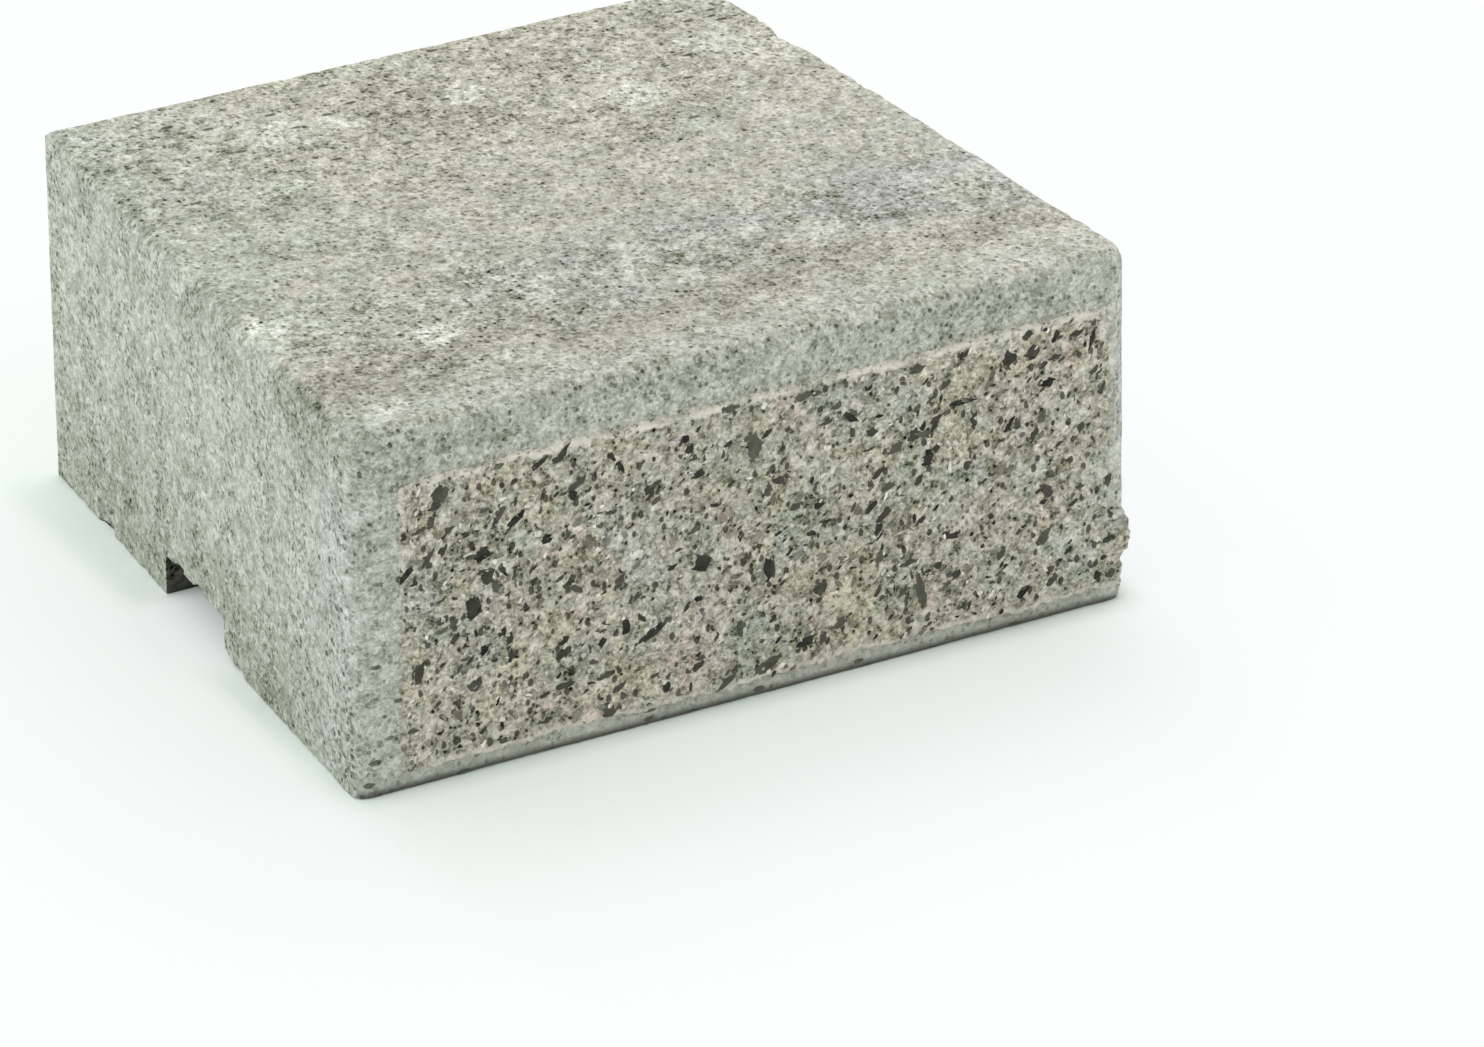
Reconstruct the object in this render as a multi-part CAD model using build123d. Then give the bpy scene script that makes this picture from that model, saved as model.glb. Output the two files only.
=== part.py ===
from build123d import *
import math
import os

# Wall coping stone: one block of cast concrete that closes the top of a garden wall.
# Its face is split rough inside a smooth moulded margin, its sides draw in towards the back so
# that stones can follow a curve, and a groove across its bed sits over the keys of the course below.
# Millimetres. +X runs along the face, the split face looks towards -Y and +Z is up.
# The origin is on the ground under the middle of the stone.

# Block, measured between its flat sides, with the depth taken to the moulded margin of the face
front_length = 315.0
back_length = 277.0
depth = 280.0
height = 140.0

# Moulded edges. The rounding of the top is largest round the face and runs out along the sides.
upright_edge_radius = 11.0
top_edge_radius = 8.0
top_edge_radius_at_back = 2.0
back_edge_radius = 1.0

# Moulded margin that frames the split, measured from the sharp corners of the face
margin_top = 20.0
margin_bottom = 6.0
margin_left = 17.0
margin_right = 11.0

# Split face: its highest part stands this far in front of the margin
split_rise = 3.5
split_corner_radius = 5.0

# Spur on the right upright edge, where the break ran outside the margin
spur_bottom = 20.0
spur_top = 34.0
spur_inset = 2.0
spur_corner_radius = 2.0

# Groove across the bed, for the keys of the course below
groove_from_back = 107.0
groove_width = 55.0
groove_depth = 16.0
groove_corner_radius = 2.0
groove_lip_width = 11.0
groove_lip_height = 4.0

# Cuts run this far past the block
overrun = 10.0

# Height of the broken face over the margin, as shares of split_rise.
# Rows go from the bed to the top, and each row from the left end to the right end.
split_height_shares = [
    [0.40, 0.55, 0.50, 0.35, 0.45, 0.60, 0.50, 0.40, 0.55, 0.50, 0.45],
    [0.45, 0.70, 0.55, 0.40, 0.60, 0.75, 0.55, 0.45, 0.70, 0.85, 0.90],
    [0.40, 0.60, 0.85, 0.65, 0.50, 0.60, 0.85, 0.75, 0.50, 0.70, 0.60],
    [0.50, 0.45, 0.70, 0.88, 0.70, 0.50, 0.68, 0.96, 0.75, 0.50, 0.45],
    [0.60, 0.55, 0.50, 0.70, 0.80, 0.60, 0.45, 0.65, 0.80, 0.60, 0.50],
    [0.50, 0.60, 0.50, 0.55, 0.60, 0.50, 0.55, 0.50, 0.60, 0.55, 0.50],
]

back_y = (depth + split_rise) / 2
margin_y = back_y - depth


def half_length_at(y):
    """Half the block's length at y: it falls evenly from the face to the back."""
    share = (y - margin_y) / depth
    return (front_length + (back_length - front_length) * share) / 2


def upright_plane_at(y):
    """Upright plane across the block at y, with its own y axis pointing up and its normal to the face."""
    return Plane(origin=(0, y, 0), x_dir=(1, 0, 0), z_dir=(0, -1, 0))


def sharp_block():
    """The block before its edges are rounded: a trapezium in plan, carried up to its full height."""
    front = front_length / 2
    back = back_length / 2
    corners = [(-front, margin_y), (front, margin_y), (back, back_y), (-back, back_y)]
    return extrude(make_face(Polyline(*corners, close=True)), height)


def front_end(run_y):
    """The block's front end up to run_y, with its upright edges rounded, and then its top all round."""
    block = sharp_block()
    upright = block.edges().filter_by(Axis.Z).group_by(Axis.Y)[0]
    block = fillet(upright, upright_edge_radius)
    top = block.faces().sort_by(Axis.Z)[-1]
    front_and_sides = top.edges().sort_by(Axis.Y)[:-1]
    block = fillet(front_and_sides, top_edge_radius)
    return split(block, bisect_by=upright_plane_at(run_y), keep=Keep.TOP)


def cut_section(y, edge_radius):
    """Section at y of what the rounding of the right top edge takes away.

    The upright plane cuts the slanting edge at an angle, so that the rounding shows as an ellipse."""
    slant = (front_length - back_length) / 2 / depth
    edge_width = edge_radius * math.sqrt(1 + slant**2)
    corner = Rectangle(edge_width + overrun, edge_radius + overrun, align=(Align.MIN, Align.MIN))
    section = corner - Ellipse(edge_width, edge_radius)
    return (upright_plane_at(y) * Pos(half_length_at(y) - edge_width, height - edge_radius) * section).face()


def moulded_block():
    """The cast block. Behind the front end the rounding along the sides runs out evenly to the back."""
    run_y = margin_y + upright_edge_radius + top_edge_radius
    rear = split(sharp_block(), bisect_by=upright_plane_at(run_y), keep=Keep.BOTTOM)
    sections = [cut_section(run_y, top_edge_radius), cut_section(back_y, top_edge_radius_at_back)]
    cutter = loft(sections, ruled=True)
    block = front_end(run_y) + (rear - cutter - mirror(cutter, about=Plane.YZ))
    back_face = block.faces().sort_by(Axis.Y)[-1]
    back_edges = back_face.edges().sort_by(Axis.Z)[1:]
    return fillet(back_edges, back_edge_radius)


def split_outline():
    """Outline of the broken face inside its margin, with the spur on its right side."""
    left = -front_length / 2 + margin_left
    right = front_length / 2 - margin_right
    width = right - left
    rise = height - margin_top - margin_bottom
    field = RectangleRounded(width, rise, split_corner_radius)
    outline = Pos(left + width / 2, margin_bottom + rise / 2) * field
    spur_width = 2 * (margin_right - spur_inset)
    spur = RectangleRounded(spur_width, spur_top - spur_bottom, spur_corner_radius)
    return outline + Pos(right, (spur_bottom + spur_top) / 2) * spur


def split_face():
    """The broken face: a sheet through the grid of heights, carried back into the block inside its outline."""
    rows = len(split_height_shares)
    columns = len(split_height_shares[0])
    points = []
    for row, shares in enumerate(split_height_shares):
        z = height * row / (rows - 1)
        line = []
        for column, share in enumerate(shares):
            x = front_length * (column / (columns - 1) - 1 / 2)
            line.append(Vector(x, margin_y - split_rise * share, z))
        points.append(line)
    sheet = Face.make_surface_from_array_of_points(points)
    body = extrude(sheet, upright_edge_radius + split_rise, dir=(0, 1, 0))
    root = upright_plane_at(margin_y + upright_edge_radius) * split_outline()
    return body & extrude(root, upright_edge_radius + split_rise)


def bed_groove():
    """Cutter for the groove: an upright back wall, a flat roof, and a front wall that opens out at its foot."""
    rear = back_y - groove_from_back
    front = rear - groove_width
    corners = [
        (rear, 0),
        (rear, groove_depth),
        (front, groove_depth),
        (front, groove_lip_height),
        (front - groove_lip_width, 0),
        (front - groove_lip_width, -overrun),
        (rear, -overrun),
    ]
    section = make_face(Polyline(*corners, close=True))
    section = fillet(section.vertices().group_by(Axis.Y)[-1], groove_corner_radius)
    half = front_length / 2 + overrun
    return extrude(Plane.YZ.offset(-half) * section, 2 * half)


coping_stone = moulded_block() - bed_groove() + split_face()

os.makedirs("parts", exist_ok=True)
export_step(coping_stone, "parts/coping_stone.step")
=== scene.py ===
import itertools
import math

import bpy
import numpy as np
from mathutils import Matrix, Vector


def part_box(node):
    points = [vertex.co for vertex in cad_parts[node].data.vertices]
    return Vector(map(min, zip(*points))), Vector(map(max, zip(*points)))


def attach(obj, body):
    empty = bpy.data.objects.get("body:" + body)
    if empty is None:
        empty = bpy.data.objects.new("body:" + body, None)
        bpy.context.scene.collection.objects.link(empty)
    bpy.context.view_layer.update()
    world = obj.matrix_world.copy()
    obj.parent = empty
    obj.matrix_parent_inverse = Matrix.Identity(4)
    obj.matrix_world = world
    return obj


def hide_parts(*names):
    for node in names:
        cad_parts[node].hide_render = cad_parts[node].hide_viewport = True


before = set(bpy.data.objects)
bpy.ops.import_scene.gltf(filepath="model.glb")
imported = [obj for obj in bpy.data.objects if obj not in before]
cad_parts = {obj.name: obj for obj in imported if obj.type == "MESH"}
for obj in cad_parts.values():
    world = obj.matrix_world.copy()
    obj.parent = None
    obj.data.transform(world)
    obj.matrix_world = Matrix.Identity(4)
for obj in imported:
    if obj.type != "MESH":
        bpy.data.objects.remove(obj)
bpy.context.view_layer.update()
mm = 0.001

# Cast body
# The whole block of dry-cast concrete as it left the mould. Its sides draw in towards the back, a
# rounding goes round the face and runs out along the sides, and a groove crosses its bed.
block_low, block_high = (np.array(corner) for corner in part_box("coping_stone"))
height = block_high[2]
back_y = block_high[1]
cast_depth = 280 * mm
margin_y = back_y - cast_depth
front_half = 157.5 * mm
back_half = 138.5 * mm
upright_radius_at_foot = 6 * mm
upright_radius_at_top = 13 * mm
top_radius_at_front = 7.5 * mm
top_radius_at_back = 2 * mm
back_radius = 0.8 * mm
back_easing = 4 * back_radius
bed_radius = 0.6 * mm
rounding_steps = 2
smallest_radius = 0.8 * mm
front_end = upright_radius_at_top
front_rounding_depth = 19 * mm
run_out_start = margin_y + front_rounding_depth
groove_from_back = 107 * mm
groove_width = 55 * mm
groove_rear = back_y - groove_from_back
groove_front = groove_rear - groove_width
groove_roof = 16 * mm
groove_corner = 2 * mm
groove_corner_steps = 3
groove_lip_width = 11 * mm
groove_lip_height = 4 * mm
groove_wall_draft = 0.3 * mm
cast_spacing = 2.15 * mm
edge_spacing = 1.5 * mm
wall_spacing = 3 * mm
fine_top = 2 * mm
fine_top_spacing = 1 * mm
fan_out_height = 45 * mm
hash_factors = np.array((374761393, 668265263, 1274126177))
hash_seed_factor = 974634777
hash_fold_factor = 1103515245
hash_mask = 0xFFFFFFFF
smallest_length = 1e-9


def chance(cells, seed):
    """A fixed random number from 0 to 1 for each whole-numbered cell.

    The cell's numbers are multiplied by large factors, added up with the seed, and folded twice."""
    mixed = ((cells * hash_factors).sum(axis=-1) + seed * hash_seed_factor) & hash_mask
    mixed = ((mixed ^ (mixed >> 13)) * hash_fold_factor) & hash_mask
    return (mixed ^ (mixed >> 16)) / hash_mask


def eased(share):
    """A share from 0 to 1 with a soft start and end: three times its square, less twice its cube."""
    return share * share * (3 - 2 * share)


def noise(points, size, seed):
    """Smooth random field from -1 to 1.

    The corners of cubes of that size have random numbers, and a place between them eases from one
    to the next along each axis."""
    scaled = points / size
    whole = np.floor(scaled).astype(np.int64)
    share = eased(scaled - whole)
    total = 0
    for corner in itertools.product((0, 1), repeat=3):
        weight = np.where(corner, share, 1 - share).prod(axis=-1)
        total = total + weight * chance(whole + corner, seed)
    return 2 * total - 1


def layered(points, layers, field=noise):
    """Random fields added up. A layer is its height and its size in millimetres, and a seed."""
    return sum(tall * mm * field(points, size * mm, seed) for tall, size, seed in layers)


def stretch(start, end, spacing):
    """Evenly spaced places or points from start to end, both included, about that far apart."""
    start, end = np.asarray(start, float), np.asarray(end, float)
    steps = max(1, round(float(np.linalg.norm(end - start)) / spacing))
    return np.linspace(start, end, steps + 1)


def arc(centre, radius, start_degrees, end_degrees, steps):
    """Points on a circle between two angles, counted from the first axis to the second."""
    angle = np.radians(np.linspace(start_degrees, end_degrees, steps + 1))
    return np.asarray(centre) + radius * np.stack([np.cos(angle), np.sin(angle)], axis=-1)


def chain(*runs):
    """Runs of places whose ends meet, joined into one."""
    return np.concatenate([runs[0]] + [run[1:] for run in runs[1:]])


def block_skin(counts):
    """Whole-numbered places and quads of the skin of a block with that many places along x, y and z.

    Each side is a grid of quads that face outwards, and places shared by two sides are one."""
    quads = []
    for axis in range(3):
        first, second = (axis + 1) % 3, (axis + 2) % 3
        u, v = np.indices((counts[first] - 1, counts[second] - 1))
        for level, turn in ((0, -1), (counts[axis] - 1, 1)):
            corners = []
            for step_u, step_v in ((0, 0), (1, 0), (1, 1), (0, 1))[::turn]:
                place = np.empty(u.shape + (3,), np.int64)
                place[..., axis] = level
                place[..., first] = u + step_u
                place[..., second] = v + step_v
                corners.append(place.reshape(-1, 3))
            quads.append(np.stack(corners, axis=1))
    keys = np.concatenate(quads) @ (counts[1] * counts[2], counts[2], 1)
    found, quads = np.unique(keys, return_inverse=True)
    return np.stack(np.unravel_index(found, counts), axis=1), quads.reshape(-1, 4)


def ease_corner(across, along):
    """Square corner made round: each square ring about its centre becomes a circle.

    Both inputs are shares of the radius, 0 at the centre and 1 on the sharp outline."""
    ring = np.maximum(across, along)
    length = np.maximum(np.hypot(across, along), smallest_length)
    return across * ring / length, along * ring / length


def half_length(y):
    """Half the block's length at y, falling evenly from the face to the back."""
    return np.interp(y, (margin_y, back_y), (front_half, back_half))


side_edge_wander = [(0.78, 14, 11), (0.65, 5, 12)]


def moulded(points, bed):
    """Rounds a sharp box to the moulded block, in three steps, and then draws in its sides.

    The upright corners are eased in plan, then the top edge and the bed edge are eased by each
    point's depth inside that outline and its height. bed is the height of the bed under each point."""
    x, y, z = points.T
    side = np.sign(x)
    end = np.where(y < 0, -1.0, 1.0)
    upright = np.interp(z, (0, height), (upright_radius_at_foot, upright_radius_at_top))
    radius = np.where(y < 0, upright, back_radius)
    past_side = abs(x) - front_half + radius
    past_end = np.where(y < 0, margin_y + radius - y, y - back_y + radius)
    across, along = (np.clip(part / radius, 0, 1) for part in (past_side, past_end))
    round_across, round_along = ease_corner(across, along)
    past_side = past_side + radius * (round_across - across)
    past_end = past_end + radius * (round_along - along)
    x = side * (past_side + front_half - radius)
    y = np.where(y < 0, margin_y + radius - past_end, past_end + back_y - radius)

    reach = np.hypot(np.maximum(past_side, 0), np.maximum(past_end, 0))
    inset = radius - reach - np.minimum(np.maximum(past_side, past_end), 0)
    safe = np.maximum(reach, smallest_length)
    out_x = side * np.where(reach > 0, np.maximum(past_side, 0) / safe, past_side > past_end)
    out_y = end * np.where(reach > 0, np.maximum(past_end, 0) / safe, past_side <= past_end)

    stations = (run_out_start, back_y - back_easing, back_y - back_radius)
    top_radius = np.interp(y, stations, (top_radius_at_front, top_radius_at_back, back_radius))
    from_front, from_back = (np.clip(part / front_end, 0, 1) for part in (y - run_out_start, back_y - y))
    wander = layered(np.stack([side, y, 0 * y], axis=-1), side_edge_wander)
    top_radius = np.maximum(top_radius + wander * from_front * from_back, smallest_radius)
    for edge_radius, above in ((top_radius, z - height + top_radius), (bed_radius, bed_radius - z + bed)):
        across = np.clip((edge_radius - inset) / edge_radius, 0, 1)
        along = np.clip(above / edge_radius, 0, 1)
        round_across, round_along = ease_corner(across, along)
        x = x - out_x * edge_radius * (across - round_across)
        y = y - out_y * edge_radius * (across - round_across)
        upwards = np.where(z > height / 2, 1, -1)
        z = z + upwards * edge_radius * (round_along - along)
    return np.stack([x * half_length(y) / front_half, y, z], axis=-1)


def corner_normals(points, quads):
    """Outward direction of length 1 at each point, from the crossed diagonals of its quads added up."""
    a, b, c, d = (points[quads[:, corner]] for corner in range(4))
    facing = np.cross(c - a, d - b)
    total = np.zeros_like(points)
    for corner in range(4):
        np.add.at(total, quads[:, corner], facing)
    return total / np.maximum(np.linalg.norm(total, axis=1, keepdims=True), smallest_length)


def bitten(points, bites):
    """Presses the points inside each ball out to its surface. A bite is a ball's centre and radius."""
    for centre, radius in bites:
        away = points - centre
        distance = np.maximum(np.linalg.norm(away, axis=1, keepdims=True), smallest_length)
        points = np.where(distance < radius, centre + away * radius / distance, points)
    return points


def add_piece(name, points, faces, smooth=True, values=None):
    """New mesh object at the origin from points, faces and named lists with a number for each point."""
    mesh = bpy.data.meshes.new(name)
    mesh.from_pydata(points.tolist(), [], [face for group in faces for face in group.tolist()])
    for key, numbers in (values or {}).items():
        listed = mesh.attributes.new(key, "FLOAT", "POINT")
        listed.data.foreach_set("value", np.asarray(numbers, np.float32))
    mesh.polygons.foreach_set("use_smooth", np.full(len(mesh.polygons), smooth))
    mesh.update()
    piece = bpy.data.objects.new(name, mesh)
    bpy.context.scene.collection.objects.link(piece)
    return piece


# Line of the bed from the face to the back, with the groove in it. On the top the same rows lie evenly
front_wall = groove_front + groove_wall_draft
rear_wall = groove_rear - groove_wall_draft
roof_front = front_wall + groove_corner
roof_rear = rear_wall - groove_corner
corner_z = groove_roof - groove_corner
bed_line = chain(
    stretch((margin_y, 0), (margin_y + front_end, 0), edge_spacing),
    stretch((margin_y + front_end, 0), (groove_front - groove_lip_width, 0), cast_spacing),
    stretch((groove_front - groove_lip_width, 0), (groove_front, groove_lip_height), cast_spacing),
    stretch((groove_front, groove_lip_height), (front_wall, corner_z), wall_spacing),
    arc((roof_front, corner_z), groove_corner, 180, 90, groove_corner_steps),
    stretch((roof_front, groove_roof), (roof_rear, groove_roof), cast_spacing),
    arc((roof_rear, corner_z), groove_corner, 90, 0, groove_corner_steps),
    stretch((rear_wall, corner_z), (groove_rear, 0), wall_spacing),
    stretch((groove_rear, 0), (back_y - back_radius, 0), cast_spacing),
    stretch((back_y - back_radius, 0), (back_y, 0), back_radius / rounding_steps),
)
bed_y, bed_height = bed_line.T
top_y = bed_y.copy()
middle = slice(round(front_end / edge_spacing), len(top_y) - rounding_steps)
top_y[middle] = np.linspace(top_y[middle][0], top_y[middle][-1], len(top_y[middle]))
left_edge = stretch(-front_half, -front_half + front_end, edge_spacing)
cast_x = chain(left_edge, stretch(left_edge[-1], -left_edge[-1], cast_spacing), -left_edge[::-1])
cast_z = chain(
    stretch(0, bed_radius, bed_radius / rounding_steps),
    stretch(bed_radius, height - front_end, cast_spacing),
    stretch(height - front_end, height - fine_top, edge_spacing),
    stretch(height - fine_top, height, fine_top_spacing),
)

# Skin of a sharp block on those lines, which is then rounded
places, cast_quads = block_skin((len(cast_x), len(bed_y), len(cast_z)))
station, level = places[:, 1], cast_z[places[:, 2]]
bed = bed_height[station]
fan_out = np.clip(level / fan_out_height, 0, 1)
sharp = np.stack([
    cast_x[places[:, 0]],
    bed_y[station] * (1 - fan_out) + top_y[station] * fan_out,
    bed + (height - bed) * level / height,
], axis=-1)
cast_points = moulded(sharp, bed)

# Chips out of the edges that the photo shows, each a ball's x, y, z and radius in millimetres, and then
# small wear along the edges of the sides and along the back edge of the top
seen_chips = [
    (-144, 96, 3, 6.5), (-146, 88, 11, 5), (-150.5, 22, 13, 7), (-150, 4, 13, 6), (-147.5, 56, 0, 4),
    (-153, -33, -1, 5), (-156, -62, -2, 4), (-140, 143.5, 146.5, 8.2), (-135, 145, 145, 6.5),
    (146.5, 86, 142, 9.3), (147, 78, 143, 8.8), (146, 93, 142, 6.5), (-144.5, 91, 1, 5.5),
    (150, 22, 143, 5), (153, -30, 143, 5), (159, -139, 3, 7), (159.5, -138.5, 14, 6.5), (155, -134, -3, 7),
]
chips = [(np.array(row[:3]) * mm, row[3] * mm) for row in seen_chips]
wear_sizes = (2.5 * mm, 5 * mm)
side_wear_count = 110
side_top_wear_depths = (0.3 * mm, 1.3 * mm)
side_bed_wear_depths = (0.3 * mm, 0.8 * mm)
back_wear_count = 22
back_wear_depths = (0.3 * mm, 0.9 * mm)
wear = np.random.default_rng(5)
for _ in range(side_wear_count):
    y = wear.uniform(margin_y + front_end, back_y - front_end)
    side = wear.choice((-1, 1))
    size = wear.uniform(*wear_sizes)
    upper = wear.random() < 0.5
    bite_depth = wear.uniform(*(side_top_wear_depths if upper else side_bed_wear_depths))
    edge_radius = np.interp(y, (run_out_start, back_y), (top_radius_at_front, top_radius_at_back))
    inset = (edge_radius if upper else bed_radius) * (math.sqrt(2) - 1)
    reach = (size - bite_depth - inset) / math.sqrt(2)
    centre_z = height + reach if upper else -reach
    chips.append((np.array((side * (half_length(y) + reach), y, centre_z)), size))
for _ in range(back_wear_count):
    x = wear.uniform(-back_half, back_half)
    size = wear.uniform(*wear_sizes)
    reach = (size - wear.uniform(*back_wear_depths)) / math.sqrt(2)
    chips.append((np.array((x, back_y + reach, height + reach)), size))
cast_points = bitten(cast_points, chips)

# Fine unevenness of the cast faces, always inwards, and the larger pores of the top
cast_unevenness = [(0.14, 48, 21), (0.12, 17, 22), (0.13, 5, 23)]
mean_unevenness = 0.04 * mm
outward = corner_normals(cast_points, cast_quads)
inwards = np.clip(mean_unevenness + layered(cast_points, cast_unevenness), 0, None)
cast_points = cast_points - outward * inwards[:, None]
top_pores = np.array([
    (-105, -90), (-68, -89.5), (-118, 45), (-21, 67.5), (15, 37), (96, 60), (24, 117),
    (66, 94), (44, 42), (-89.5, -11), (-80, 117), (-120, 64),
]) * mm
pore_radius = 2.4 * mm
pore_depth = 1.2 * mm
for x, y in top_pores:
    away = np.linalg.norm(cast_points - (x, y, height), axis=1) / pore_radius
    cast_points[:, 2] -= pore_depth * np.clip(1 - away * away, 0, 1)
cast_points = np.clip(cast_points, block_low, block_high)
facing = {"up": outward[:, 2], "front": -outward[:, 1], "side": abs(outward[:, 0])}
cast_body = add_piece("cast_body", cast_points, [cast_quads], values=facing)
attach(cast_body, "root")
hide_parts("coping_stone")


class Wire:
    """One output in a material's node tree. Sums and products of wires and numbers add Math nodes."""

    def __init__(self, tree, socket):
        self.tree = tree
        self.socket = socket

    def node(self, kind, settings, inputs, output=0):
        """Adds a node, with values or wires for its inputs, and gives back one of its outputs."""
        made = self.tree.nodes.new(kind)
        for name, value in settings.items():
            setattr(made, name, value)
        for name, value in inputs.items():
            if isinstance(value, Wire):
                self.tree.links.new(value.socket, made.inputs[name])
            else:
                made.inputs[name].default_value = value
        return Wire(self.tree, made.outputs[output] if made.outputs else None)

    def math(self, operation, first, second):
        """One operation on two numbers or wires."""
        return self.node("ShaderNodeMath", {"operation": operation}, {0: first, 1: second})

    def __add__(self, other):
        return self.math("ADD", self, other)

    def __sub__(self, other):
        return self.math("SUBTRACT", self, other)

    def __rsub__(self, other):
        return self.math("SUBTRACT", other, self)

    def __mul__(self, other):
        return self.math("MULTIPLY", self, other)

    __radd__ = __add__

    def rises(self, low, high):
        """0 where this is under low and 1 over high, eased between. With high under low it falls."""
        settings = {"interpolation_type": "SMOOTHSTEP"}
        return self.node("ShaderNodeMapRange", settings, {0: self, 1: low, 2: high, 3: 0.0, 4: 1.0})

    def part(self, name):
        """One of the X, Y and Z of a vector."""
        return self.node("ShaderNodeSeparateXYZ", {}, {0: self}, name)

    def squeezed(self, x, y, z):
        """This place with each axis multiplied, so that patterns on it grow shorter along that axis."""
        return self.node("ShaderNodeVectorMath", {"operation": "MULTIPLY"}, {0: self, 1: (x, y, z)})

    def listed(self, name):
        """A number listed for each point of the piece."""
        return self.node("ShaderNodeAttribute", {"attribute_name": name}, {}, "Fac")

    def near(self, point):
        """Distance from this place to a point."""
        return self.node("ShaderNodeVectorMath", {"operation": "DISTANCE"}, {0: self, 1: point}, 1)

    def blots(self, size, detail=0.0):
        """Soft random blots about that size, around 0.5."""
        inputs = {"Vector": self, "Scale": 1 / size, "Detail": detail, "Roughness": 0.6}
        return self.node("ShaderNodeTexNoise", {}, inputs, "Fac")

    def grains(self, size, output="Color"):
        """Close-packed grains about that size: a random colour for each, or the distance to its middle."""
        return self.node("ShaderNodeTexVoronoi", {}, {"Vector": self, "Scale": 1 / size}, output)

    def between(self, low, high):
        """Colour that goes from low to high as this number goes from 0 to 1."""
        return self.node("ShaderNodeMix", {"data_type": "RGBA"}, {0: self, 6: low, 7: high}, 2)

    def painted(self, colour, share):
        """This colour, changed towards another by a share from 0 to 1."""
        return self.node("ShaderNodeMix", {"data_type": "RGBA"}, {0: share, 6: self, 7: colour}, 2)

    def lit(self, factor, red_gain=1.05, blue_gain=1.13):
        """This colour, multiplied by a number around 1.

        Light grit is less coloured than dark, so red and blue change more than green."""
        change = factor - 1
        factors = {0: change * red_gain + 1, 1: factor, 2: change * blue_gain + 1}
        factors = self.node("ShaderNodeCombineXYZ", {}, factors)
        return self.node("ShaderNodeVectorMath", {"operation": "MULTIPLY"}, {0: self, 1: factors})


def screen(red, green, blue):
    """Colour for a tone that shows as these numbers from 0 to 255 on a screen."""
    linear = []
    for value in (red, green, blue):
        value = value / 255
        linear.append(value / 12.92 if value <= 0.04045 else ((value + 0.055) / 1.055) ** 2.4)
    return (*linear, 1.0)


def new_material(name):
    """Material with an empty tree, and the place on the piece that its patterns follow."""
    material = bpy.data.materials.new(name)
    material.use_nodes = True
    tree = material.node_tree
    tree.nodes.clear()
    place = Wire(tree, tree.nodes.new("ShaderNodeTexCoord").outputs["Object"])
    return material, place


relief_depth = 0.5 * mm
shine = 0.3


def finish_material(place, colour, roughness, relief):
    """Shader at the end of a material's tree. relief is the height of its grain, in relief depths."""
    bump = place.node("ShaderNodeBump", {}, {"Height": relief, "Distance": relief_depth}, "Normal")
    inputs = {"Base Color": colour, "Roughness": roughness, "Normal": bump, "Specular IOR Level": shine}
    shader = place.node("ShaderNodeBsdfPrincipled", {}, inputs)
    place.node("ShaderNodeOutputMaterial", {}, {"Surface": shader})


mean_brightness = 1.03


def sand_grain(place, strength):
    """Light and dark of the sand and cement in the surface, around 1, and its relief, around 0.

    Grains of three sizes and soft blots are added up, and small scattered pores are darkened."""
    tiny = place.grains(0.8 * mm).part("X") - 0.5
    small = place.grains(1.5 * mm).part("Y") - 0.5
    coarse = place.grains(2.8 * mm).part("Z") - 0.5
    soft = place.blots(5 * mm, 2) - 0.5
    wide = place.blots(16 * mm, 2) - 0.5
    pore_pick = place.grains(2.2 * mm).part("X").rises(0.66, 0.7)
    pores = place.grains(2.2 * mm, "Distance").rises(0.42, 0.22) * pore_pick
    tone = tiny * 0.47 + small * 0.45 + coarse * 0.37 + soft * 0.85 + wide * 0.7 - pores * 0.42
    relief = tiny * 0.35 + small * 0.45 + coarse * 0.3 + soft * 0.5 - pores * 1.2
    return mean_brightness + tone * strength, relief


# Colours of the cast faces as they show on a screen, and the lime blooms of the top, each its x, y and
# radius in millimetres and its share
cast_grey = screen(191, 192, 178)
rear_ochre = screen(188, 188, 170)
left_green = screen(184, 190, 175)
blue_grey = screen(176, 178, 171)
front_brown = screen(172, 172, 158)
lip_grey = screen(190, 192, 182)
side_green = screen(188, 195, 182)
side_blue = screen(182, 190, 183)
warm_tint = screen(197, 189, 172)
green_tint = screen(182, 192, 172)
lime_bloom = screen(230, 234, 221)
collar_grey = screen(180, 183, 171)
collar_green = screen(175, 183, 169)
# Painted shade at the foot of the face
foot_painted_shade = screen(84, 87, 77)
hole_dark = screen(80, 81, 69)
# Painted shade inside the groove
groove_painted_shade = screen(60, 61, 49)
blooms = [
    (12, 97, 13, 0.8), (-93, -79, 13, 0.75), (-143, -45, 15, 0.75), (-40, 94, 9, 0.45),
    (-65, 100, 24, 0.4), (64, 95, 7, 0.7), (67.5, 67, 16, 0.45), (-146, 14, 14, 0.45),
    (-122, 124, 26, 0.22), (118, 88, 26, 0.3), (-46, -52, 24, 0.25), (-134, -122, 18, 0.28),
]
taper = (front_half - back_half) / cast_depth
drift_reach = 90 * mm
left_wander = 36 * mm
groove_edge = 1 * mm
hollow_size = 4.6 * mm
cast_roughness = 0.92
material, place = new_material("cast_concrete_skin")
x, y, z = (place.part(axis) for axis in "XYZ")
face_up = place.listed("up").rises(0.3, 0.9)
face_front = place.listed("front").rises(0.3, 0.85)
face_side = place.listed("side").rises(0.3, 0.85)

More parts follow.
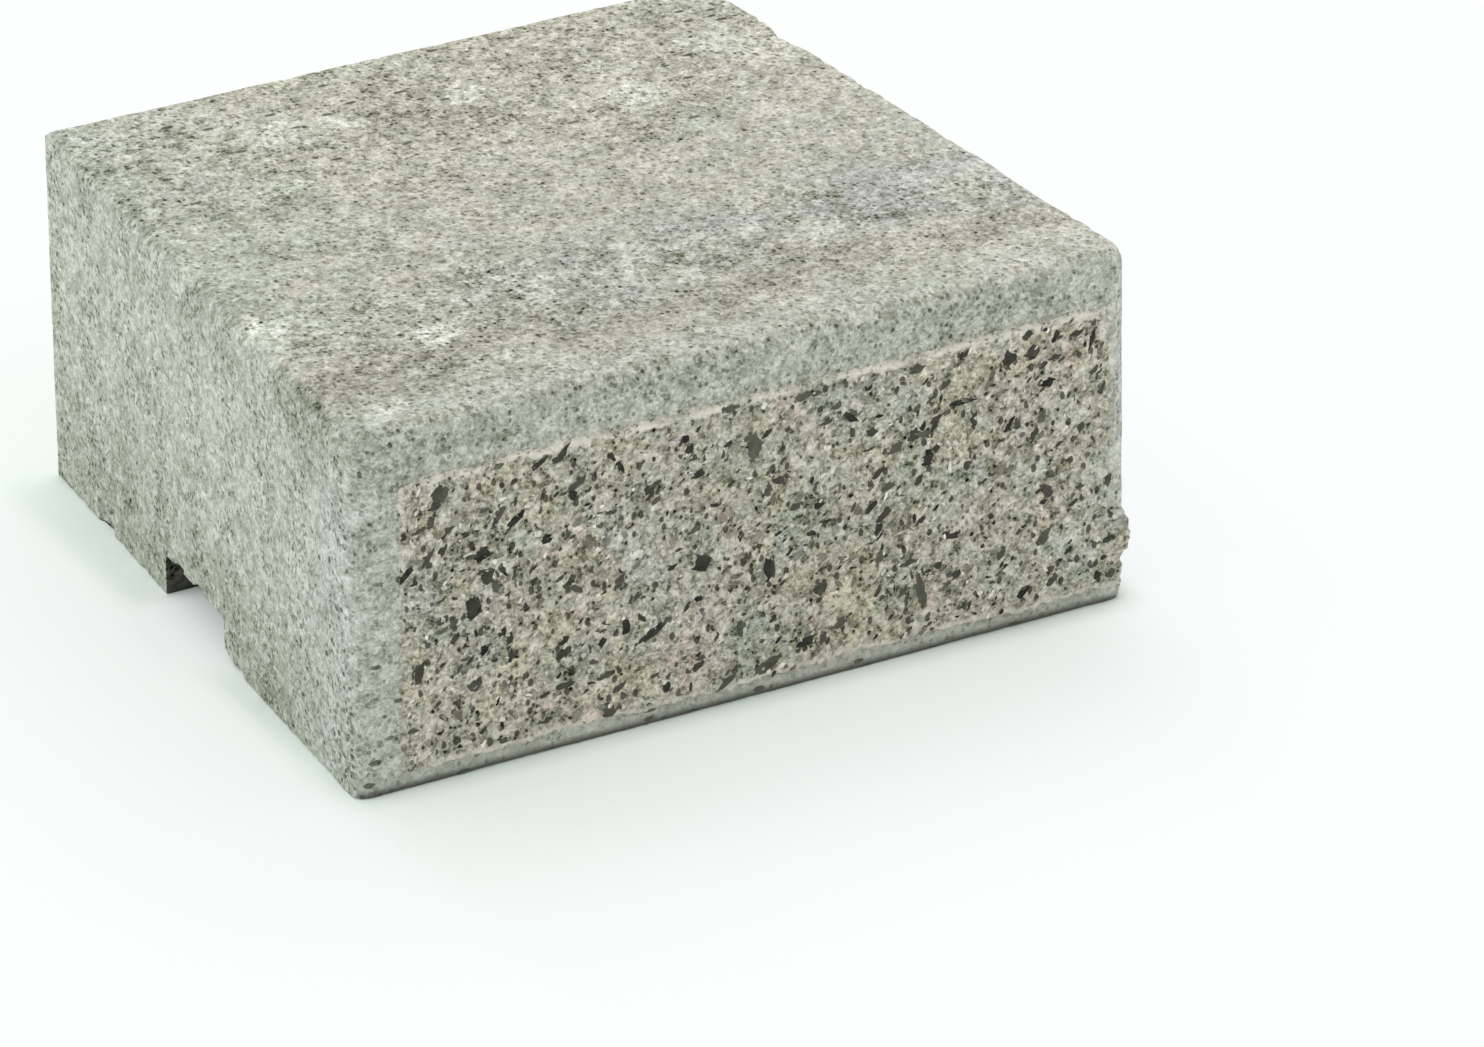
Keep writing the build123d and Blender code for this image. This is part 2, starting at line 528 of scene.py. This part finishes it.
# Broad colours: ochre towards the back, green along the left and pale along the front edge of the top
drift = (place.squeezed(0.5, 1, 1).blots(34 * mm, 3) - 0.5) * drift_reach
wavy_y = y + drift
patches = place.blots(26 * mm, 3)
colour = (place.blots(60 * mm, 2).rises(0.4, 0.62) * 0.35).between(cast_grey, rear_ochre)
colour = colour.painted(rear_ochre, wavy_y.rises(10 * mm, 70 * mm) * face_up * 0.8)
colour = colour.painted(left_green, (x + drift).rises(-30 * mm, -150 * mm) * 0.7)
from_left = x - y * taper + (front_half + margin_y * taper)
from_left = from_left + (place.blots(13 * mm, 3) - 0.5) * left_wander
near_left = from_left.rises(18 * mm, 0) * face_up
colour = colour.painted(left_green, near_left * 0.8)
colour = colour.painted(lip_grey, y.rises(-114 * mm, -124 * mm) * face_up * 0.6)
colour = colour.painted(warm_tint, place.blots(14 * mm, 3).rises(0.5, 0.72) * face_up * 0.5)
colour = colour.painted(green_tint, place.blots(19 * mm, 3).rises(0.5, 0.72) * face_up * 0.45)

# Two bands across the top: blue-grey, and in front of it brown, which goes on over the upper sides
band = wavy_y.rises(-92 * mm, -62 * mm) * wavy_y.rises(-20 * mm, -50 * mm) * x.rises(-110 * mm, -10 * mm)
colour = colour.painted(blue_grey, band * patches.rises(0.3, 0.58) * face_up * 0.9)
band = wavy_y.rises(-124 * mm, -98 * mm) * wavy_y.rises(-62 * mm, -88 * mm)
dark_band = band * (face_up + z.rises(100 * mm, 135 * mm) * face_side)
colour = colour.painted(front_brown, dark_band * 0.9)

# Colours of the sides and of the margin round the break, and blue-grey patches
colour = colour.painted(side_green, face_side * 0.85)
colour = colour.painted(collar_grey, face_front * 0.85)
colour = colour.painted(collar_green, x.rises(-137 * mm, -146 * mm) * face_front * 0.7)
colour = colour.painted(blue_grey, patches.rises(0.54, 0.74) * face_up * 0.55)
front_left = y.rises(-70 * mm, -120 * mm) * x.rises(-138 * mm, -148 * mm) * z.rises(132 * mm, 105 * mm)
colour = colour.painted(side_blue, front_left * patches.rises(0.36, 0.54) * face_side * 0.6)

# Lime blooms with ragged edges
bloom_edge = (place.blots(6 * mm, 3) - 0.5) * 0.8
for bloom_x, bloom_y, radius, share in blooms:
    centre = (bloom_x * mm, bloom_y * mm, height)
    spread = place.near(centre) * (1 / (radius * mm)) + bloom_edge
    colour = colour.painted(lime_bloom, spread.rises(1.0, 0.1) * share)

# Strength of the grit, and light and dark by place
rough_rear = wavy_y.rises(0, 75 * mm) * face_up
rough_front = y.rises(-30 * mm, -50 * mm) * y.rises(-116 * mm, -100 * mm) * face_up
foot_strip = z.rises(9 * mm, 6 * mm) * face_front
# Inside of the groove, where shade is painted into the colour and the grit is stronger
in_groove = y.rises(groove_front - groove_lip_width, groove_front)
in_groove = in_groove * y.rises(groove_rear + groove_edge, groove_rear)
in_groove = in_groove * z.rises(groove_roof + groove_edge * 1.5, groove_roof + groove_edge * 0.5)
in_groove = in_groove * face_side.rises(0.5, 0.2)
strength = 1.0 + rough_rear * 0.2 + rough_front * 0.22 - face_side * 0.1 - near_left * 0.12
brightness, relief = sand_grain(place, strength - foot_strip * 0.5 + in_groove * 1.6)
worn = place.blots(30 * mm, 2) - 0.5
brightness = brightness + worn * (0.24 + rough_rear * 0.35 + rough_front * 0.6)
brightness = brightness + (place.blots(8 * mm, 2) - 0.5) * (rough_rear * 0.4 + rough_front * 0.3)
brightness = brightness + x.rises(50 * mm, 135 * mm) * face_up * 0.1 - near_left * 0.05
brightness = brightness - z.rises(75 * mm, 0) * face_side * 0.22
brightness = brightness - dark_band * face_side * 0.2
side_front = y.rises(-60 * mm, -110 * mm) * (1 - face_up)
brightness = brightness + side_front * z.rises(90 * mm, 0) * face_side * 0.1
brightness = brightness - y.rises(45 * mm, 0) * z.rises(104 * mm, 128 * mm) * face_side * 0.1
# The right end of the face's margin painted lighter: painted light from the right
brightness = brightness + x.rises(144 * mm, 150 * mm) * face_front * 0.19
brightness = brightness - z.rises(124 * mm, 132 * mm) * face_front * 0.05

# Short dark hollows, painted shade inside the groove and painted shade at the foot of the face
crack_place = place.squeezed(0.42, 1, 1)
holes = crack_place.grains(hollow_size, "Distance").rises(0.26, 0.16)
holes = holes * crack_place.grains(hollow_size).part("Y").rises(0.77, 0.81)
holes = holes * (0.3 + rough_rear * 0.7 + side_front * z.rises(115 * mm, 80 * mm) * 0.7)
# Painted shade along the foot of the face, where it meets the floor
foot = z.rises(4.2 * mm, 0.4 * mm) * face_front
colour = colour.painted(groove_painted_shade, in_groove * 0.93).lit(brightness, 1.05 - face_up * 0.035)
colour = colour.painted(hole_dark, holes * 0.85).painted(foot_painted_shade, foot)
finish_material(place, colour, cast_roughness, relief - holes * 1.5)
cast_body.data.materials.append(material)

# Split face
# The broken front of the block, where the stone was split off its twin along a notch. It stands a
# little proud of the moulded margin, with a ragged lip, and is one sheet of fracture closed behind.
left_margin = 17 * mm
right_margin = 11 * mm
top_margin = 20 * mm
split_left = -front_half + left_margin
split_right = front_half - right_margin
split_bottom = 6 * mm
split_top = height - top_margin
split_corner = 5 * mm
spur_bottom = 20 * mm
spur_top = 34 * mm
spur_inset = 0.9 * mm
spur_right = front_half - spur_inset
spur_corner = 2 * mm
spur_growth = 0.4 * mm
overrun_inset = 3.3 * mm
overrun_right = front_half - overrun_inset
overrun_rise = 4 * mm
overrun_top = spur_top + overrun_rise
split_spacing = 0.63 * mm
split_overlap = 3 * mm
split_sink = 3 * mm
lip_width = 0.7 * mm
left_lip_width = 4 * mm
left_lip_reach = 16 * mm
form_spacing = 9 * mm
form_blur = 8 * mm
least_rise = 0.3 * mm
fracture_room = 0.7 * mm
break_facets = [(0.5, 9, 31), (0.36, 4, 41)]
break_grit = [(0.16, 1.9, 51), (0.11, 1.1, 52)]
ragged_outline = [(0.8, 10, 61), (0.8, 3.4, 62), (0.4, 1.6, 63)]
raised_steps = 6
raised_height = 0.5 * mm
rim_middle = 1.4 * mm
rim_reach = 2.6 * mm
closing_depth = 2 * mm


def inside_box(x, z, left, right, bottom, top, corner):
    """Distance inside a rounded rectangle, and negative outside.

    It is the radius of the corners, less how far a place lies past their centres."""
    past_x = abs(x - (left + right) / 2) - (right - left) / 2 + corner
    past_z = abs(z - (bottom + top) / 2) - (top - bottom) / 2 + corner
    reach = np.hypot(np.maximum(past_x, 0), np.maximum(past_z, 0))
    return corner - reach - np.minimum(np.maximum(past_x, past_z), 0)


def facets(points, size, seed):
    """Broken planes from about -1 to 1.

    Each place takes the level and the tilt of the nearest of the centres scattered over x and z."""
    scaled = points[..., [0, 2]] / size
    shape = scaled.shape[:-1]
    whole = np.floor(scaled).astype(np.int64)
    nearest = np.full(shape, np.inf)
    result = np.zeros(shape)
    for step in itertools.product((-1, 0, 1), repeat=2):
        cell = whole + step
        key = np.concatenate([cell, np.zeros(shape + (1,), np.int64)], axis=-1)
        draws = [chance(key, seed + number) for number in range(5)]
        away = scaled - cell - np.stack(draws[:2], axis=-1)
        distance = np.hypot(away[..., 0], away[..., 1])
        level, tilt_x, tilt_z = (2 * draw - 1 for draw in draws[2:])
        plane = 0.5 * level + away[..., 0] * tilt_x + away[..., 1] * tilt_z
        closer = distance < nearest
        nearest = np.where(closer, distance, nearest)
        result = np.where(closer, plane, result)
    return result


def front_form():
    """Broad form of the break on a coarse grid, from the solid's own front points.

    Each place of the grid has the mean height of those points, where the near ones weigh more."""
    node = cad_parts["coping_stone"].data
    points = np.empty(len(node.vertices) * 3, np.float32)
    node.vertices.foreach_get("co", points)
    points = points.reshape(-1, 3).astype(float)
    points = points[points[:, 1] < margin_y - least_rise]
    form_x = stretch(split_left, split_right, form_spacing)
    form_z = stretch(split_bottom, split_top, form_spacing)
    grid_x, grid_z = np.meshgrid(form_x, form_z, indexing="ij")
    apart = np.hypot(grid_x[..., None] - points[:, 0], grid_z[..., None] - points[:, 2])
    weight = np.exp(-((apart / form_blur) ** 2) / 2)
    rise = (weight * (margin_y - points[:, 1])).sum(axis=-1) / weight.sum(axis=-1)
    return form_x, form_z, rise


def on_grid(x, z, grid_x, grid_z, values):
    """Values of a coarse grid at other places, eased between its four nearest corners.

    Places on its last lines are taken a thousandth of a step before them."""
    past_last = 1.001
    place_x = np.clip(np.interp(x, grid_x, np.arange(len(grid_x))), 0, len(grid_x) - past_last)
    place_z = np.clip(np.interp(z, grid_z, np.arange(len(grid_z))), 0, len(grid_z) - past_last)
    column, row = place_x.astype(int), place_z.astype(int)
    right, up = eased(place_x - column), eased(place_z - row)
    lower = values[column, row] * (1 - right) + values[column + 1, row] * right
    upper = values[column, row + 1] * (1 - right) + values[column + 1, row + 1] * right
    return lower * (1 - up) + upper * up


form_grid = front_form()


def break_height(x, z):
    """Height of the break over the margin: the broad form, less room for the rest, plus facets and grit."""
    points = np.stack([x, 0 * x, z], axis=-1)
    broad = on_grid(x, z, *form_grid) - fracture_room
    return broad + layered(points, break_facets, facets) + layered(points, break_grit)


def blurred(grid, reach):
    """Mean of a grid of heights over that many steps each way, along one axis and then the other."""
    for axis in (0, 1):
        grid = sum(np.roll(grid, step, axis) for step in range(-reach, reach + 1)) / (2 * reach + 1)
    return grid


# Outline of the break: the field inside the margins, the spur and the overrun below and above the spur.
# Inside it the sheet rises over a lip from behind the cast face to the height of the break
grid_x = stretch(split_left - split_overlap, spur_right, split_spacing)
grid_z = stretch(split_bottom - split_overlap, split_top + split_overlap, split_spacing)
face_x, face_z = np.meshgrid(grid_x, grid_z, indexing="ij")
flat = np.stack([face_x, 0 * face_x, face_z], axis=-1)
inside = np.maximum.reduce([
    inside_box(face_x, face_z, split_left, split_right, split_bottom, split_top, split_corner),
    inside_box(face_x, face_z, 0, spur_right, spur_bottom, spur_top, spur_corner) + spur_growth,
    inside_box(face_x, face_z, 0, overrun_right, split_bottom, overrun_top, spur_corner),
])
inside = inside + layered(flat, ragged_outline)
reach = np.interp(face_x, (split_left, split_left + left_lip_reach), (left_lip_width, lip_width))
risen = eased(np.clip(inside / reach, 0, 1))
past_flat = np.clip(abs(face_x) - front_half + front_end, 0, front_end)
cast_front = margin_y + front_end - np.sqrt(front_end**2 - past_flat**2)
hidden = cast_front + split_sink
broken = break_height(face_x, face_z)
shown = margin_y - broken
face_y = hidden + (shown - hidden) * risen
# Height of the break over its mean round about, which paints shade into its hollows and light onto its
# raised parts
raised = (broken - blurred(broken, raised_steps)) / raised_height
rim = np.clip(1 - abs(inside - rim_middle) / rim_reach, 0, 1)

# The sheet's points and quads, closed behind by triangles from its border to one point
split_points = np.stack([face_x, face_y, face_z], axis=-1).reshape(-1, 3)
split_points[:, 1] = np.maximum(split_points[:, 1], block_low[1])
index = np.arange(face_x.size).reshape(face_x.shape)
split_quads = np.stack([index[:-1, :-1], index[1:, :-1], index[1:, 1:], index[:-1, 1:]], axis=-1)
border = np.concatenate([index[:, 0], index[-1, 1:], index[-2::-1, -1], index[0, -2:0:-1]])
centre = split_points[border].mean(axis=0) + (0, closing_depth, 0)
split_points = np.concatenate([split_points, [centre]])
closing = np.stack([np.roll(border, -1), border, np.full(len(border), len(split_points) - 1)], axis=-1)
values = {"rim": np.append(rim, 0), "raised": np.append(raised, 0)}
split_face = add_piece("split_face", split_points, [split_quads.reshape(-1, 4), closing], values=values)
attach(split_face, "root")

# Colours of the break, with sand, pale and dark flecks in it, cream and a painted highlight at its upper
# lip, and a painted highlight at its lower lip
split_sand = screen(180, 180, 165)
split_ochre = screen(185, 180, 158)
split_warm = screen(184, 173, 159)
split_green = screen(170, 177, 160)
split_blue = screen(171, 177, 171)
# Pale flecks, and the painted highlight of the lower lip
split_pale_and_highlight = screen(228, 225, 212)
split_dark = screen(54, 54, 44)
lip_cream_and_highlight = screen(236, 233, 218)
split_roughness = 0.93
fleck_size = 2.6 * mm


def broken_sand(place):
    """Colour and relief of the sand that the split lays open, alike at one place on every piece, with
    painted shade in the break's hollows and painted light on its raised parts.
    """
    colour = place.blots(24 * mm, 3).rises(0.42, 0.62).between(split_sand, split_ochre)
    colour = colour.painted(split_warm, place.blots(17 * mm, 3).rises(0.46, 0.64) * 0.7)
    colour = colour.painted(split_green, place.blots(21 * mm, 3).rises(0.48, 0.66) * 0.65)
    colour = colour.painted(split_blue, place.blots(30 * mm, 3).rises(0.5, 0.66) * 0.45)
    brightness, relief = sand_grain(place, 1.3)
    lumps = place.blots(5 * mm, 2) - 0.5
    # Raised parts of the break painted lighter and hollows darker: painted light and shade
    return colour.lit(brightness + lumps * 0.4 + place.listed("raised") * 0.2), relief


material, place = new_material("split_concrete")
x, y, z = (place.part(axis) for axis in "XYZ")
rim_share = place.listed("rim")
colour, relief = broken_sand(place)
pale_pick = place.grains(fleck_size).part("X").rises(0.84, 0.88)
pale = pale_pick * place.grains(fleck_size, "Distance").rises(0.5, 0.3)
fleck_place = place.squeezed(1, 1, 0.7)
fleck_pick = fleck_place.grains(fleck_size).part("Z").rises(0.86, 0.88)
flecks = fleck_pick * fleck_place.grains(fleck_size, "Distance").rises(0.5, 0.38)
colour = colour.painted(split_pale_and_highlight, pale * 0.75)
colour = colour.painted(split_dark, flecks * 0.85)
# Upper lip: cream paste, and a painted highlight where the ledge catches light from above
stretches = place.blots(13 * mm, 2).rises(0.4, 0.55)
lip = rim_share.rises(0.05, 0.6) * z.rises(100 * mm, 108 * mm) * (0.5 + stretches * 0.5)
colour = colour.painted(lip_cream_and_highlight, lip * place.blots(1.8 * mm, 2).rises(0.34, 0.5) * 0.95)
# Painted highlight along the lower lip of the break
lower_lip_highlight = rim_share.rises(0.1, 0.8) * z.rises(13 * mm, 10 * mm)
colour = colour.painted(split_pale_and_highlight, lower_lip_highlight * 0.6)
finish_material(place, colour, split_roughness, relief - flecks * 0.4)
split_face.data.materials.append(material)

# Aggregate
# Crushed stone laid open by the split: angular chips of dark, grey, brown and pale rock, bedded in
# the break with sand over their rims. The large ones follow the photo, the rest are scattered.
ring_corners = 8
ring_shares = np.array((1.06, 1.0, 0.78))
ring_lifts = np.array((-1.6, 0.3, 1.0))
ring_bareness = np.array((0.0, 0.1, 0.5))
corner_wobble = 0.35
corner_reach = (0.66, 1.2)
steepest_slope = 0.07
chip_lift = 0.36 * mm
lift_spread = (0.6, 1.4)
tip_lift = 1.15
chip_sink = 0.8 * mm
chip_root = 1.6 * mm
slenderness = (1.3, 3.4)
room_at_sides = 3
room_at_ends = 2
mean_lean = 38
lean_spread = 32
first_chip_seed = 81

# Stones at the photo's places: x, z, width and height in millimetres, and lean in degrees
seen_stones = [
    (-123, 112.5, 8, 8, 0), (-70.5, 103, 9, 4, 35), (-72, 99, 4, 6, 20), (-54, 104, 5, 8, 0),
    (-42, 94, 6, 9, 15), (0, 100, 7, 13, 0), (39, 102.5, 9, 3, 5), (-10, 117, 9, 3, 5),
    (26, 114, 6, 3, 0), (-107.5, 85, 8, 8, 10), (-106, 76, 7, 8, -15), (-112, 65, 8, 10, 0),
    (-94, 102, 2, 5, 0), (65, 89, 6, 5, 30), (57.5, 85.5, 7, 4, 35), (48, 94, 7, 4, 20),
    (70.5, 79, 5, 9, -15), (84.5, 97.5, 12, 3, 0), (89.5, 90, 3, 12, 0), (108, 82, 4, 6, 0),
    (104, 109.5, 9, 7, 10), (114, 110, 7, 6, 40), (120, 96, 7, 4, 0), (132.5, 112.5, 6, 3, 10),
    (-20.5, 59, 8, 9, 0), (6, 50, 6, 10, 10), (52.5, 60.5, 8, 4, 45), (-71, 62.5, 9, 4, -35),
    (-54, 60.5, 5, 8, -10), (-97.5, 51, 3, 9, 0), (-132.5, 45, 5, 9, -20), (-51, 42.5, 5, 9, 15),
    (-40, 37, 18, 3.5, 30), (-76, 38, 9, 4, 40), (-111, 35.5, 8, 5, 20), (27.5, 37.5, 6, 11, 0),
    (69, 25, 5, 15, 5), (21, 17.5, 9, 6, 10), (6, 12, 13, 6, 15), (-57.5, 10, 6, 5, 0),
    (-10.5, 10, 12, 3, 35), (-5, 30, 5, 9, 0), (111, 15, 9, 4, 45), (119, 35, 11, 5, 50),
    (120.5, 52.5, 5, 8, 20), (81, 45, 8, 5, 0), (135, 47, 4, 4, 0), (146, 51, 3, 6, 0),
    (47.5, 65, 9, 3, 40), (17.5, 72.5, 8, 3, 10), (6, 81, 3, 7, -10), (26, 71, 7, 3, 20),
    (-27.5, 110, 5, 4, 30), (-75, 25, 12, 3, 5), (-59, 24.5, 10, 3, 15), (35, 21, 8, 4, 20),
    (-35, 14, 4, 4, 0), (-105.5, 11, 3, 4, 0), (148.5, 12, 4, 4.5, 0), (147, 27, 7, 2.5, 10),
    (145, 20, 4, 3, 0), (143, 13, 5, 3, 30),
]
brown_stones = [
    (-66, 80, 6, 9, 10), (-125, 97.5, 6, 6, 0), (27.5, 50, 6, 5, 0), (102, 66, 6, 5, 20),
    (42, 65, 5, 6, 0), (-118, 25, 5, 4, 0), (88, 30, 5, 5, 10), (-12, 75, 4, 5, 0),
]
pale_stones = [
    (-46.7, 69.5, 6, 4, 0), (-86, 88, 4, 3, 0), (63, 48, 4, 4, 0), (-25, 33, 3, 3, 0), (30, 92, 4, 3, 0),
]


def stone_chips(rows, seed):
    """Points, faces and values of angular chips, from rows like the ones above.

    Each chip is a ring of uneven corners on a leaning ellipse, repeated at three sizes: sunk, at the
    surface and raised, and closed by a middle point in front and one behind."""
    draw = np.random.default_rng(seed)
    rows = np.asarray(rows, float)
    count = len(rows)
    middle_x, middle_z, width, tall = (rows[:, column] * mm for column in range(4))
    lean = np.radians(rows[:, 4])
    turn = draw.uniform(0, 2 * math.pi, count)[:, None]
    wobble = draw.uniform(-corner_wobble, corner_wobble, (count, ring_corners))
    angle = turn + (np.arange(ring_corners) + wobble) * 2 * math.pi / ring_corners
    reach = draw.uniform(*corner_reach, (count, ring_corners))
    across = reach * np.cos(angle) * width[:, None] / 2
    along = reach * np.sin(angle) * tall[:, None] / 2
    corner_x = across * np.cos(lean)[:, None] - along * np.sin(lean)[:, None]
    corner_z = across * np.sin(lean)[:, None] + along * np.cos(lean)[:, None]
    ground = break_height(middle_x[:, None] + corner_x, middle_z[:, None] + corner_z).mean(axis=1)
    slope = draw.uniform(-steepest_slope, steepest_slope, (2, count, 1, 1))
    lift = chip_lift * draw.uniform(*lift_spread, count)
    ring_x = corner_x[:, None] * ring_shares[:, None]
    ring_z = corner_z[:, None] * ring_shares[:, None]
    rise = ring_lifts[:, None] * lift[:, None, None] + slope[0] * ring_x + slope[1] * ring_z
    rise[:, 0] -= chip_sink
    rings = np.stack([
        middle_x[:, None, None] + ring_x,
        margin_y - ground[:, None, None] - rise,
        middle_z[:, None, None] + ring_z,
    ], axis=-1).reshape(count, -1, 3)
    front = np.stack([middle_x, margin_y - ground - tip_lift * lift, middle_z], axis=-1)[:, None]
    behind = np.stack([middle_x, margin_y - ground + chip_root, middle_z], axis=-1)[:, None]
    points = np.concatenate([rings, front, behind], axis=1)
    each = points.shape[1]
    corner = np.arange(ring_corners)
    after = (corner + 1) % ring_corners
    walls = []
    for low in (0, ring_corners):
        high = low + ring_corners
        walls.append(np.stack([corner + low, after + low, after + high, corner + high], axis=-1))
    last = 2 * ring_corners
    caps = [
        np.stack([corner + last, after + last, np.full(ring_corners, each - 2)], axis=-1),
        np.stack([after, corner, np.full(ring_corners, each - 1)], axis=-1),
    ]
    start = each * np.arange(count)[:, None, None]
    quads = (np.concatenate(walls) + start).reshape(-1, 4)
    triangles = (np.concatenate(caps) + start).reshape(-1, 3)
    points = points.reshape(-1, 3)
    points[:, 1] = np.maximum(points[:, 1], block_low[1])
    bareness = np.concatenate([np.repeat(ring_bareness, ring_corners), (1.0, 0.0)])
    values = {"tone": np.repeat(draw.random(count), each), "bareness": np.tile(bareness, count)}
    return points, [quads, triangles], values


def scattered(count, smallest, largest, seed):
    """Rows of chips strewn over the break, between two areas in square millimetres.

    The areas are spread evenly on a log scale, and most chips lean up to the right."""
    draw = np.random.default_rng(seed)
    area = np.exp(draw.uniform(math.log(smallest), math.log(largest), count))
    slender = draw.uniform(*slenderness, count)
    tall = np.sqrt(area * 4 / math.pi / slender)
    x = draw.uniform(split_left / mm + room_at_sides, split_right / mm - room_at_sides, count)
    z = draw.uniform(split_bottom / mm + room_at_ends, split_top / mm - room_at_ends, count)
    lean = draw.normal(mean_lean, lean_spread, count)
    return np.stack([x, z, tall * slender, tall, lean], axis=-1)


dark_rows = np.concatenate([seen_stones, scattered(210, 3.5, 24, 71), scattered(340, 1.0, 4.0, 74)])
grey_rows = scattered(190, 1.5, 18, 75)
brown_rows = np.concatenate([brown_stones, scattered(60, 1.5, 10, 72)])
pale_rows = np.concatenate([pale_stones, scattered(260, 0.8, 7, 73)])

# Kinds of rock: name, rows, colour, roughness where bare, and how much the chips differ in tone
stone_kinds = [
    ("dark_aggregate", dark_rows, screen(51, 53, 42), 0.62, 1.9),
    ("grey_aggregate", grey_rows, screen(126, 127, 114), 0.75, 0.8),
    ("brown_aggregate", brown_rows, screen(136, 129, 111), 0.8, 0.7),
    ("pale_aggregate", pale_rows, screen(218, 215, 204), 0.8, 0.4),
]
for seed, kind in enumerate(stone_kinds, start=first_chip_seed):
    name, rows, rock_colour, bare_roughness, contrast = kind
    points, faces, values = stone_chips(rows, seed)
    stones = add_piece(name, points, faces, smooth=False, values=values)
    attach(stones, "root")
    material, place = new_material(name + "_rock")
    tone = place.listed("tone") - 0.4
    fine = place.grains(0.7 * mm).part("X") - 0.5
    soft = place.blots(2.2 * mm, 2) - 0.5
    # Angular patches inside each chip painted lighter and darker: painted light and shade of its facets
    sides = place.grains(2.4 * mm).part("Y") - 0.5
    rock = (place.blots(5 * mm) * 0.06).between(rock_colour, split_sand)
    rock = rock.lit(1.0 + tone * contrast + sides * 0.6 + fine * 0.35 + soft * 0.5)
    bare = (place.listed("bareness") + (place.blots(1.5 * mm, 2) - 0.5) * 1.7).rises(0.12, 0.3)
    sand, sand_relief = broken_sand(place)
    relief = sand_relief * (1 - bare) + (fine * 0.2 + soft * 0.3) * bare
    roughness = bare * (bare_roughness - split_roughness) + split_roughness
    finish_material(place, sand.painted(rock, bare), roughness, relief)
    stones.data.materials.append(material)

# Floor, light and camera
# A pale seamless floor, two very soft keys from the left and from behind on the right, and even light
# all round. To the camera the floor fades to plain white, and nothing shows of it from below.
floor_half = 15.0
floor_drop = 0.2 * mm
floor_points = np.array([
    (-floor_half, -floor_half, -floor_drop), (floor_half, -floor_half, -floor_drop),
    (floor_half, floor_half, -floor_drop), (-floor_half, floor_half, -floor_drop),
])
floor = add_piece("floor", floor_points, [np.array([(0, 1, 2, 3)])])
floor_colour = screen(246, 249, 248)
floor_shown = (0.91, 1.0, 0.955, 1.0)
floor_glow = (0.985, 1.0, 1.0, 1.0)
shade_half_x = block_high[0] - 2 * mm
shade_half_y = back_y - 3 * mm
material, place = new_material("pale_floor")

# To the camera the floor's glow is painted light: it grows away from the stone and varies along it,
# brighter to the right and at the far left.
# Right beside the stone it is off, so that the stone's shadow shows darker there, but for the groove's
# mouth, where it is a little stronger
x, y = (place.part(axis) for axis in "XY")
off_x, off_y = (part.math("ABSOLUTE", part, 0.0) for part in (x, y))
beyond = (off_x - shade_half_x, off_y - shade_half_y)
beyond_x, beyond_y = (part.math("MAXIMUM", part, 0.0) for part in beyond)
from_stone = beyond_x.node("ShaderNodeCombineXYZ", {}, {0: beyond_x, 1: beyond_y}).near((0.0, 0.0, 0.0))
floor_painted_light_share = 0.3 + x.rises(-150 * mm, 30 * mm) * 0.12 + x.rises(110 * mm, 200 * mm) * 0.4
floor_painted_light_share = floor_painted_light_share + x.rises(-145 * mm, -175 * mm) * 0.2 + from_stone.rises(40 * mm, 220 * mm) * 0.6
under_groove = y.rises(groove_front - 22 * mm, groove_front + 6 * mm)
under_groove = under_groove * y.rises(groove_rear + 8 * mm, groove_rear - 10 * mm)
under_groove = under_groove * off_x.rises(105 * mm, 155 * mm)
close = from_stone.rises(12 * mm, -1 * mm)
floor_painted_light_share = floor_painted_light_share * (1 - close * (1 - under_groove)) + close * under_groove * 0.12
seen_by_camera = place.node("ShaderNodeLightPath", {}, {}, "Is Camera Ray")
from_below = place.node("ShaderNodeNewGeometry", {}, {}, "Backfacing")
plain = place.node("ShaderNodeBsdfDiffuse", {}, {"Color": floor_colour})
shown = place.node("ShaderNodeBsdfDiffuse", {}, {"Color": floor_shown})
glow = place.node("ShaderNodeEmission", {}, {"Color": floor_glow, "Strength": 1.0})
clear = place.node("ShaderNodeBsdfTransparent", {}, {})
shown = place.node("ShaderNodeMixShader", {}, {0: floor_painted_light_share, 1: shown, 2: glow})
shader = place.node("ShaderNodeMixShader", {}, {0: seen_by_camera, 1: plain, 2: shown})
shader = place.node("ShaderNodeMixShader", {}, {0: from_below, 1: shader, 2: clear})
place.node("ShaderNodeOutputMaterial", {}, {"Surface": shader})
floor.data.materials.append(material)

# Even light all round, which shows as plain white to the camera
around_level = 0.79
world = bpy.data.worlds.new("studio")
world.use_nodes = True
world.node_tree.nodes.clear()
start = Wire(world.node_tree, None)
seen_by_camera = start.node("ShaderNodeLightPath", {}, {}, "Is Camera Ray")
strength = seen_by_camera * (1 - around_level) + around_level
background = start.node("ShaderNodeBackground", {}, {"Color": (1.0, 1.0, 1.0, 1.0), "Strength": strength})
start.node("ShaderNodeOutputWorld", {}, {"Surface": background})
bpy.context.scene.world = world

# Keys: name, the direction each comes from, and its share of full light
key_softness = 80
keys = [("left_key", (-0.80, 0.10, 0.59), 0.19), ("right_key", (0.45, 0.50, 0.74), 0.16)]
for name, (key_x, key_y, key_z), share in keys:
    key = bpy.data.lights.new(name, "SUN")
    key.energy = math.pi * share
    key.angle = math.radians(key_softness)
    holder = bpy.data.objects.new(name, key)
    tilt = math.atan2(math.hypot(key_x, key_y), key_z)
    holder.rotation_euler = (tilt, 0, math.atan2(key_y, key_x) + math.pi / 2)
    bpy.context.scene.collection.objects.link(holder)

# Camera where the outline of the stone in the photo puts it
camera = bpy.data.cameras.new("camera")
camera.lens = 208.468
camera.sensor_width = 36
camera.sensor_fit = "HORIZONTAL"
camera.clip_end = 60
viewer = bpy.data.objects.new("camera", camera)
viewer.location = (-1.32608, -2.47468, 1.44368)
viewer.rotation_euler = (math.radians(62.904), 0, math.radians(-29.509))
bpy.context.scene.collection.objects.link(viewer)
bpy.context.scene.camera = viewer
bpy.context.scene.view_settings.view_transform = "Standard"
